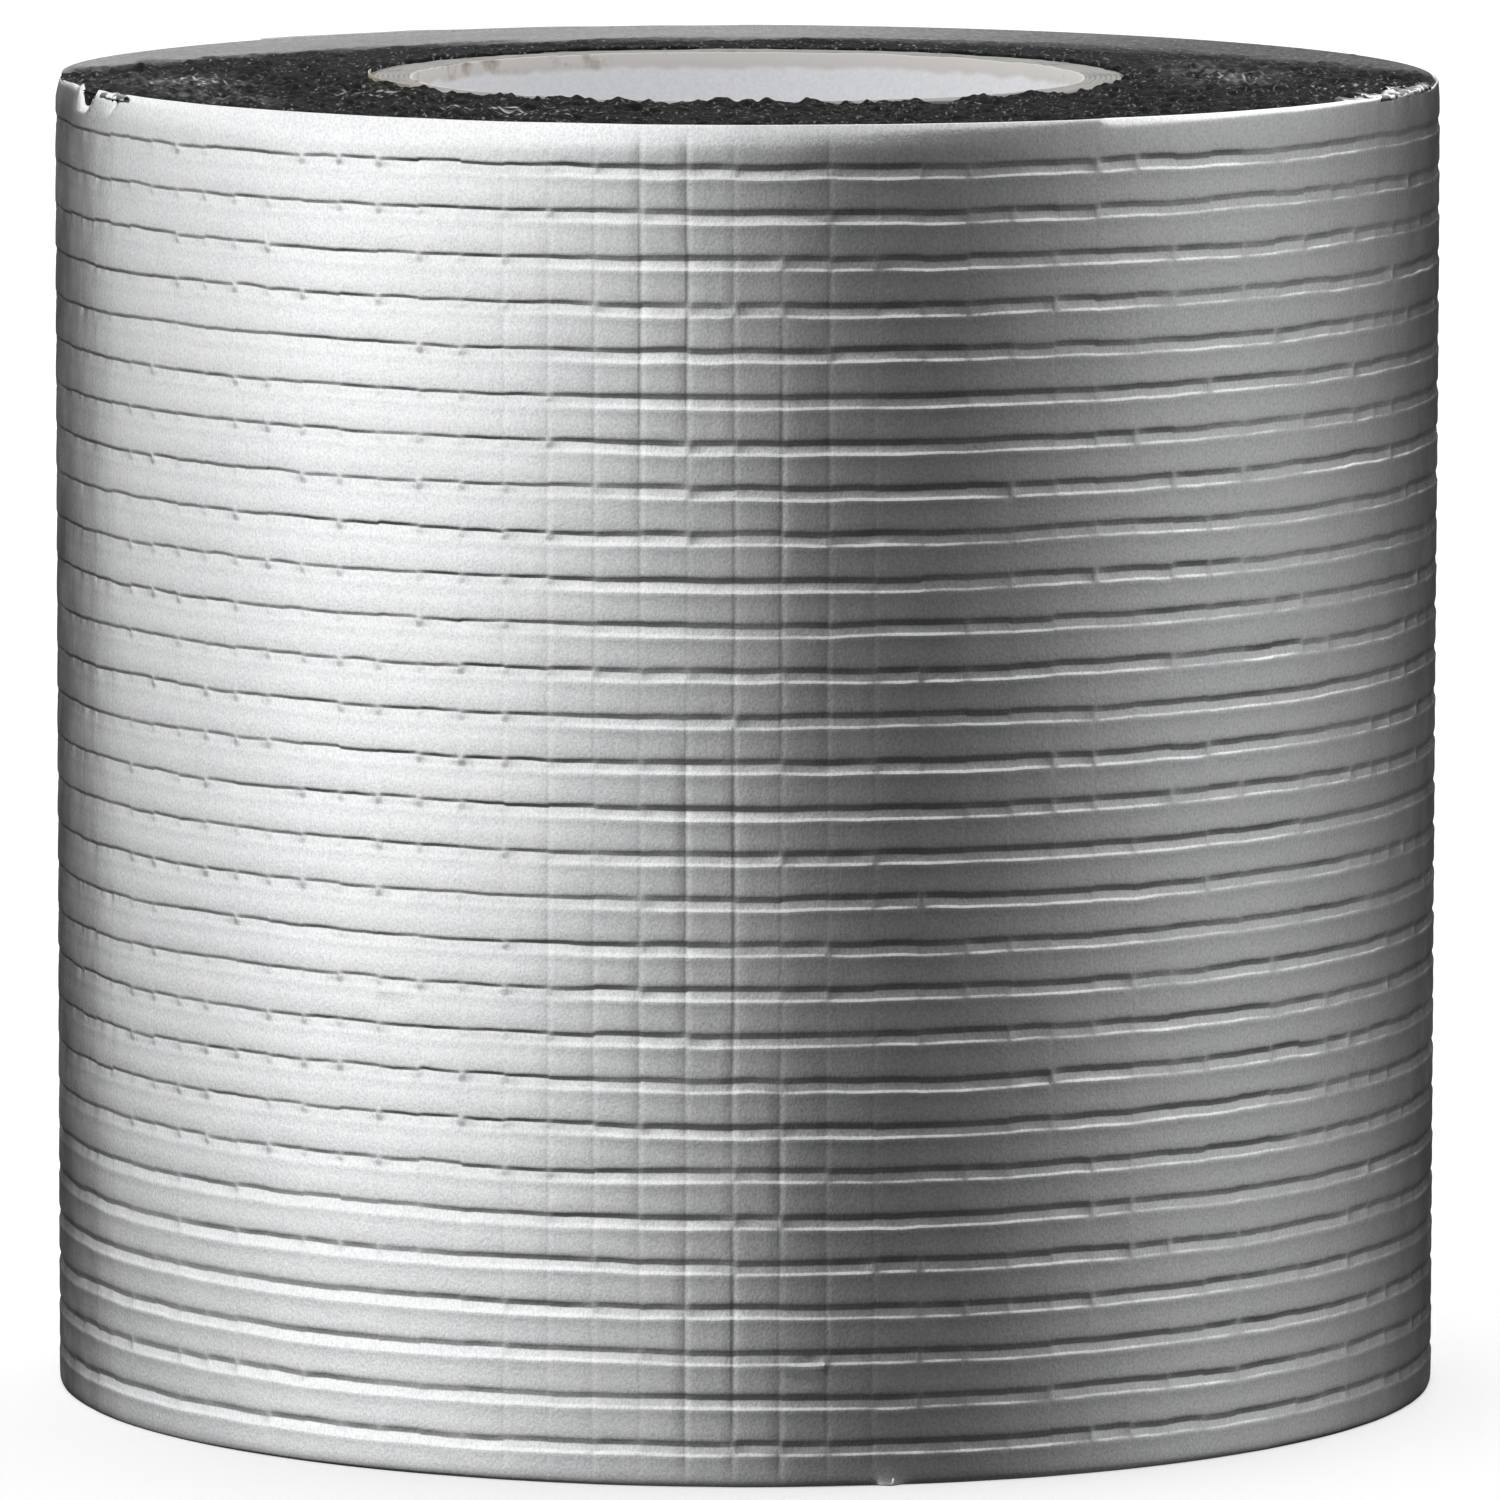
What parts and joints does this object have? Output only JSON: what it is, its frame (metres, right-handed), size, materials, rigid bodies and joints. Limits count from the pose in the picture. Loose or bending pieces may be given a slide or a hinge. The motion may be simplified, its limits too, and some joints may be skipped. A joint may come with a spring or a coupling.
{
  "type": "flashing tape roll",
  "caption": "Roll of wide foil-faced butyl sealing tape on a paperboard core, standing on its end, with a loose outer end that peels back.",
  "frame": {"origin": "on the roll's axis, in the plane of the end that it stands on", "axes": "+Z along the roll's axis, upwards; +X and +Y across the roll, with the loose outer end in the quarter between +Y and -X"},
  "size_m": [0.1574, 0.1575, 0.15],
  "materials": {
    "core_lining_paper": "matt off-white paper",
    "core_board": "raw grey-brown board, cut edges",
    "core_cover_paper": "smooth kraft paper",
    "starter_adhesive": "tacky transfer adhesive",
    "release_liner": "siliconised translucent white film",
    "butyl": "tacky black compound, rough where it is cut",
    "scrim_film": "polyethylene film round a fine mesh",
    "embossed_foil": "satin foil, embossed in a 5 mm grid"
  },
  "bodies": {
    "roll": {"core_lining": "core_lining_paper", "core_board_ply_1": "core_board", "core_board_ply_2": "core_board", "core_board_ply_3": "core_board", "core_board_ply_4": "core_board", "core_board_ply_5": "core_board", "core_board_ply_6": "core_board", "core_board_ply_7": "core_board", "core_cover": "core_cover_paper", "starter_strip": "starter_adhesive", "wound_release_liner": "release_liner", "wound_butyl": "butyl", "wound_scrim_film": "scrim_film", "wound_foil": "embossed_foil"},
    "loose_end_1": {"loose_end_1_release_liner": "release_liner", "loose_end_1_butyl": "butyl", "loose_end_1_scrim_film": "scrim_film", "loose_end_1_foil": "embossed_foil"},
    "loose_end_2": {"loose_end_2_release_liner": "release_liner", "loose_end_2_butyl": "butyl", "loose_end_2_scrim_film": "scrim_film", "loose_end_2_foil": "embossed_foil"},
    "loose_end_3": {"loose_end_3_release_liner": "release_liner", "loose_end_3_butyl": "butyl", "loose_end_3_scrim_film": "scrim_film", "loose_end_3_foil": "embossed_foil"},
    "loose_end_4": {"loose_end_4_release_liner": "release_liner", "loose_end_4_butyl": "butyl", "loose_end_4_scrim_film": "scrim_film", "loose_end_4_foil": "embossed_foil"},
    "loose_end_5": {"loose_end_5_release_liner": "release_liner", "loose_end_5_butyl": "butyl", "loose_end_5_scrim_film": "scrim_film", "loose_end_5_foil": "embossed_foil"},
    "loose_end_6": {"loose_end_6_release_liner": "release_liner", "loose_end_6_butyl": "butyl", "loose_end_6_scrim_film": "scrim_film", "loose_end_6_foil": "embossed_foil"}
  },
  "joints": [
    {"name": "peel_1", "type": "hinge", "parent": "roll", "child": "loose_end_1", "pos_m": [-0.00361, 0.07876, 0.075], "axis": [0, 0, -1], "range_deg": [0, 18]},
    {"name": "peel_2", "type": "hinge", "parent": "loose_end_1", "child": "loose_end_2", "pos_m": [-0.01371, 0.07766, 0.075], "axis": [0, 0, -1], "range_deg": [0, 18]},
    {"name": "peel_3", "type": "hinge", "parent": "loose_end_2", "child": "loose_end_3", "pos_m": [-0.02361, 0.07533, 0.075], "axis": [0, 0, -1], "range_deg": [0, 18]},
    {"name": "peel_4", "type": "hinge", "parent": "loose_end_3", "child": "loose_end_4", "pos_m": [-0.03313, 0.07178, 0.075], "axis": [0, 0, -1], "range_deg": [0, 18]},
    {"name": "peel_5", "type": "hinge", "parent": "loose_end_4", "child": "loose_end_5", "pos_m": [-0.04215, 0.06709, 0.075], "axis": [0, 0, -1], "range_deg": [0, 18]},
    {"name": "peel_6", "type": "hinge", "parent": "loose_end_5", "child": "loose_end_6", "pos_m": [-0.05051, 0.06132, 0.075], "axis": [0, 0, -1], "range_deg": [0, 18]}
  ],
  "couplings": [
    {"joint": "peel_2", "follows": "peel_1", "ratio": 1},
    {"joint": "peel_3", "follows": "peel_1", "ratio": 1},
    {"joint": "peel_4", "follows": "peel_1", "ratio": 1},
    {"joint": "peel_5", "follows": "peel_1", "ratio": 1},
    {"joint": "peel_6", "follows": "peel_1", "ratio": 1}
  ]
}
